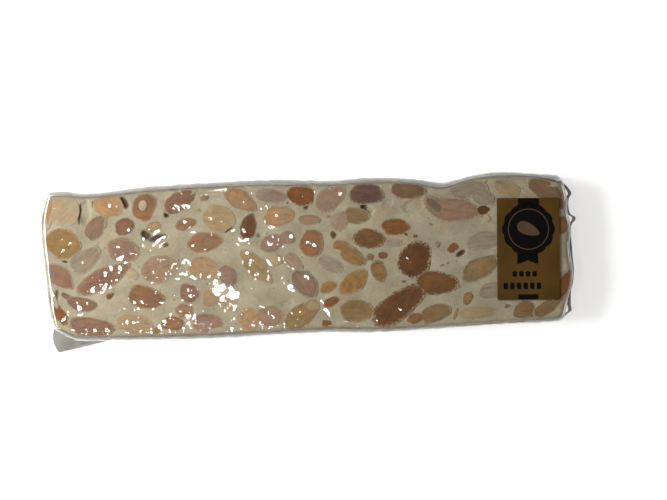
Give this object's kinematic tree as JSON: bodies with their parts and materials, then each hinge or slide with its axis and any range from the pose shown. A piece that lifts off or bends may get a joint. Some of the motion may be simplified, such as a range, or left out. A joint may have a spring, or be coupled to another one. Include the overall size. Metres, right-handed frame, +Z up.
{
  "type": "nougat bar",
  "caption": "Bar of hard almond nougat sealed tight in clear film, with a gold paper label stuck on its face.",
  "frame": {"origin": "middle of the flat underside that the pack lies on", "axes": "+X along the bar to the end with the label, +Y across the bar, +Z up out of the labelled face"},
  "size_m": [0.2072, 0.0652, 0.019],
  "materials": {
    "film_wrapped_nougat": "clear glossy film over cream nougat and brown almonds",
    "gold_paper": "satin metallic gold paper with black print",
    "cream_nougat": "hard cream nougat, matt, with fine pores and flecks",
    "roasted_almond": "cut faces of roasted almonds, tan to dark red-brown, with a darker rim"
  },
  "bodies": {
    "root": {"film_pack": "film_wrapped_nougat", "label": "gold_paper"}
  },
  "joints": []
}
